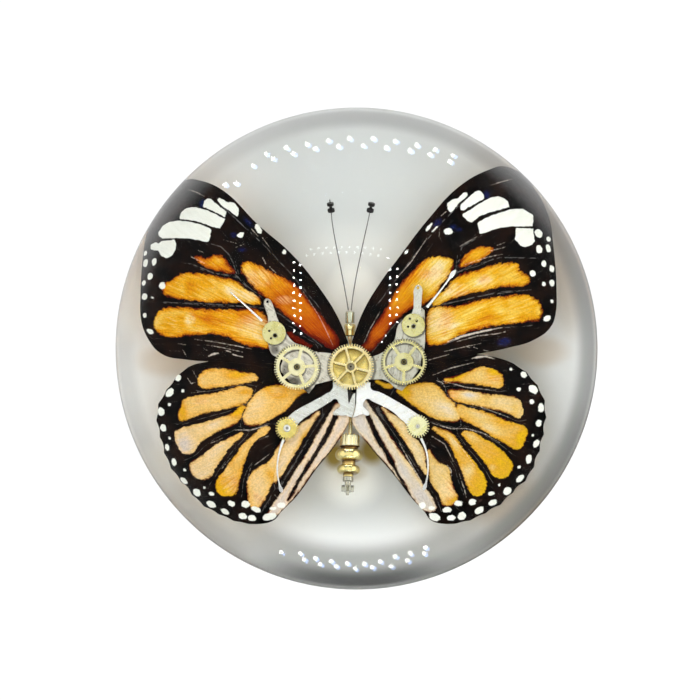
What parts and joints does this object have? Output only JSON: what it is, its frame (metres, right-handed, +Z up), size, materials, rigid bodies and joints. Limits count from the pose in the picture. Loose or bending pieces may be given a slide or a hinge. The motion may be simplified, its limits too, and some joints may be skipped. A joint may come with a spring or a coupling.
{
  "type": "clockwork butterfly in glass dome",
  "caption": "Spread butterfly with natural wings and a body of brass and steel watch parts, fixed on a white base under a solid clear glass dome.",
  "frame": {"origin": "middle of the base's underside, on the dome's axis", "axes": "+Z up along the dome's axis, +Y towards the insect's head, +X towards its right wing as seen from above"},
  "size_m": [0.1, 0.1, 0.061],
  "materials": {
    "clear_glass": "polished",
    "white_board": "matte",
    "wing": "scaled, matt with a soft sheen",
    "brass": "polished",
    "nickel_plate": "hairline brushed",
    "bright_steel": "polished",
    "dark_steel": "darkened"
  },
  "bodies": {
    "root": {"glass_dome": "clear_glass", "base_disc": "white_board", "mounting_post": "white_board", "body_core": "dark_steel", "forewing_left": "wing", "forewing_right": "wing", "hindwing_left": "wing", "hindwing_right": "wing", "head_ferrule": "brass", "head_tube": "bright_steel", "antenna_left": "dark_steel", "antenna_right": "dark_steel", "antenna_knob_left": "dark_steel", "antenna_knob_right": "dark_steel", "abdomen_finial": "brass", "abdomen_pinion": "bright_steel", "bridge_left": "nickel_plate", "bridge_right": "nickel_plate", "arm_right": "bright_steel", "lever_left": "nickel_plate", "lever_right": "nickel_plate", "centre_cup": "brass", "centre_wheel": "brass", "centre_arbor": "bright_steel", "wheel_left": "brass", "wheel_right": "brass", "arbor_left": "dark_steel", "arbor_right": "dark_steel", "disc_left": "brass", "disc_right": "brass", "disc_arbor_left": "dark_steel", "disc_arbor_right": "dark_steel", "gear_left": "brass", "gear_right": "brass", "gear_arbor_left": "bright_steel", "gear_arbor_right": "bright_steel", "hand_upper_left": "bright_steel", "hand_upper_right": "bright_steel", "hand_lower_left": "bright_steel", "hand_lower_right": "bright_steel"}
  },
  "joints": []
}
